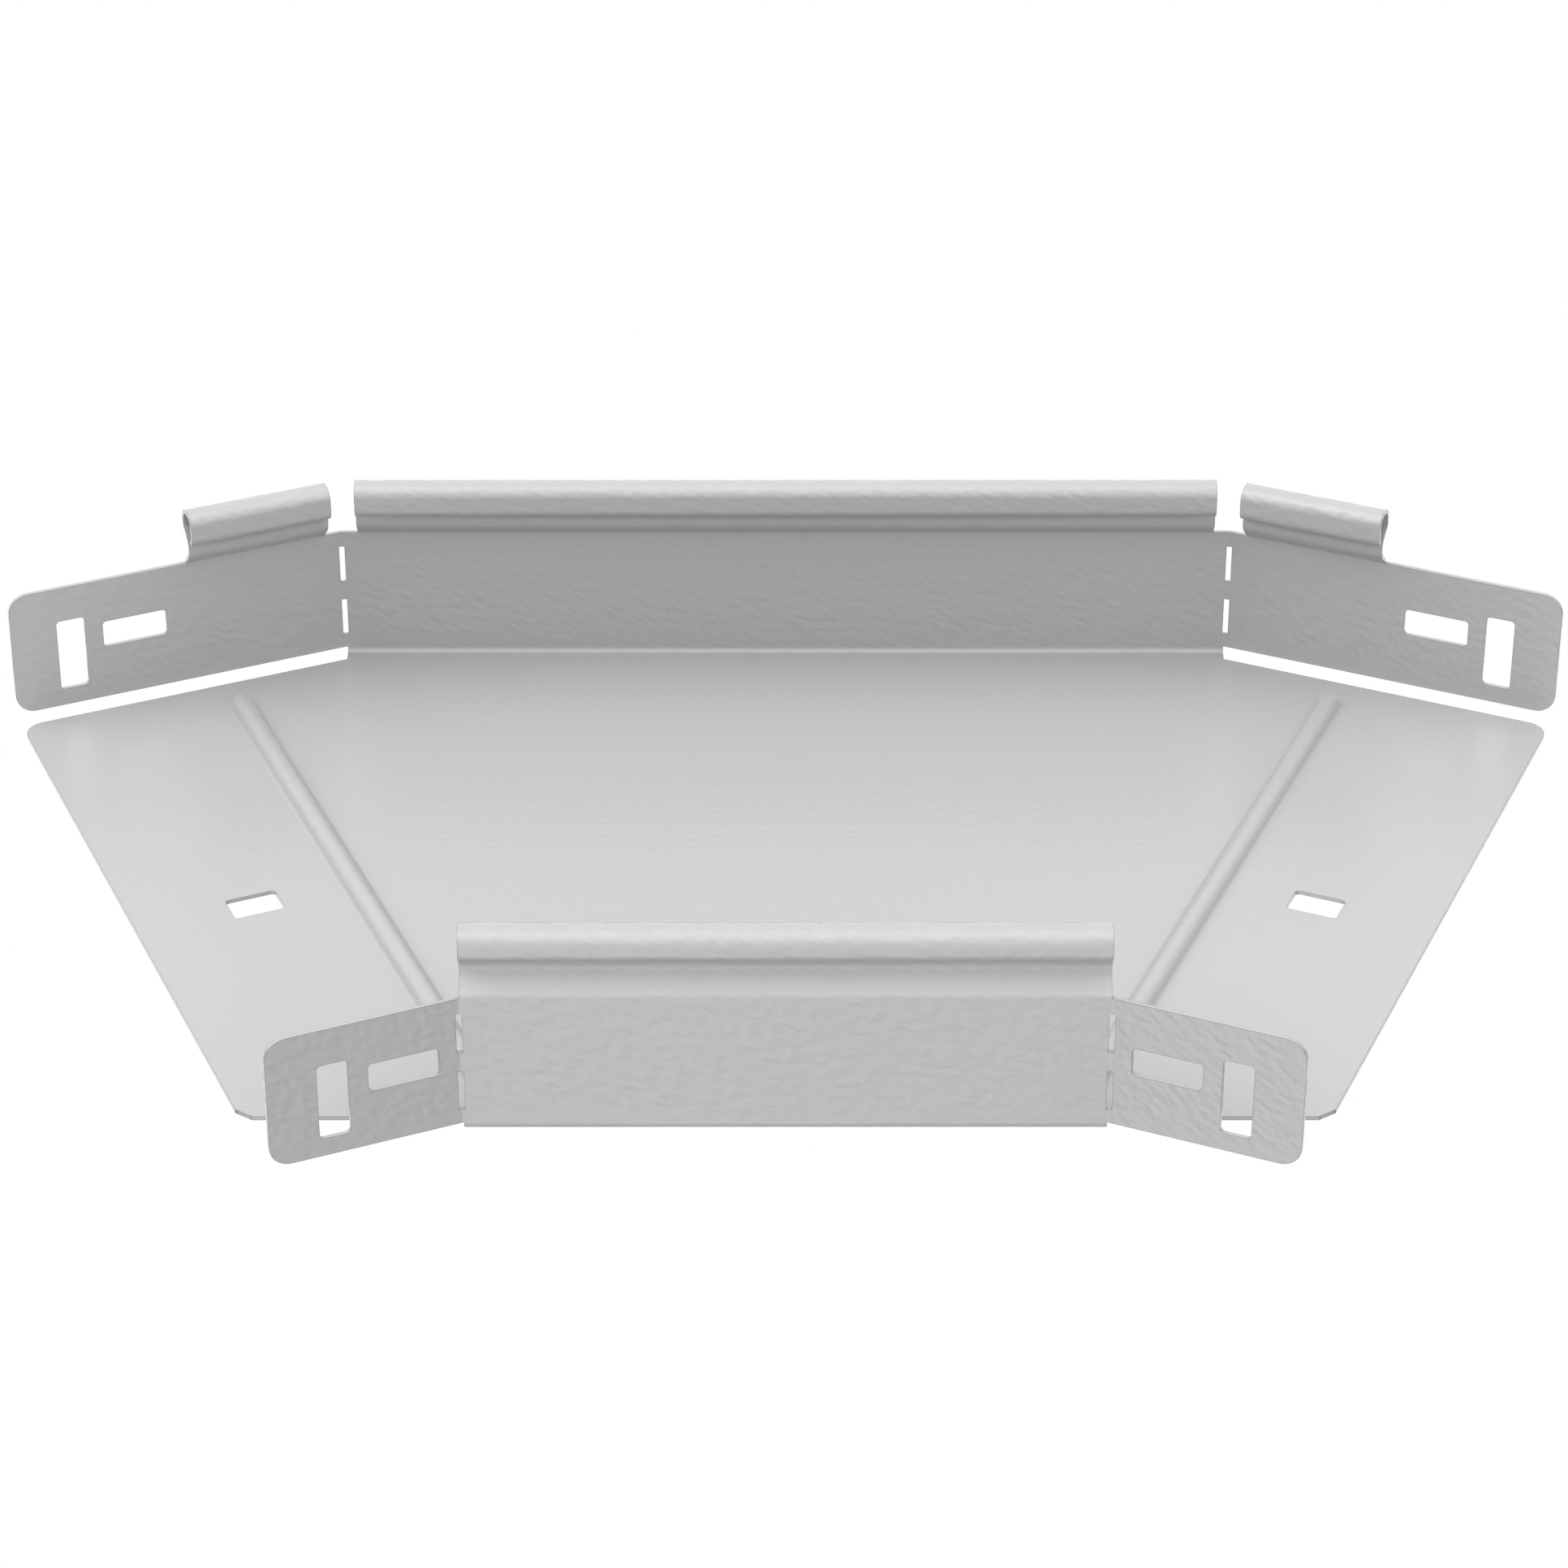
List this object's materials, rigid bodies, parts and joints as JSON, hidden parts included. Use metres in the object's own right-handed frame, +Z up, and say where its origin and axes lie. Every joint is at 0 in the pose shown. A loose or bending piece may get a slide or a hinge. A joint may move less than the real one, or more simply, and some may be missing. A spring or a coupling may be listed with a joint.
{
  "type": "cable tray bend",
  "caption": "Folded sheet-steel 45 degree horizontal bend for a cable tray: flat base with ribs, two low side walls with a rolled rim, and slotted wings that join the next trays.",
  "frame": {"origin": "centre of the bounding box at its bottom, on the underside of the base", "axes": "+X along the two straight folds to the right-hand wings, +Y from the inner (short) wall to the outer (long) wall, +Z up out of the open channel"},
  "size_m": [0.3748, 0.2186, 0.0508],
  "materials": {
    "galvanised_sheet_steel": "galvanised, matt light grey with a faint mottle"
  },
  "bodies": {
    "root": {"tray_bend_sheet": "galvanised_sheet_steel"}
  },
  "joints": []
}
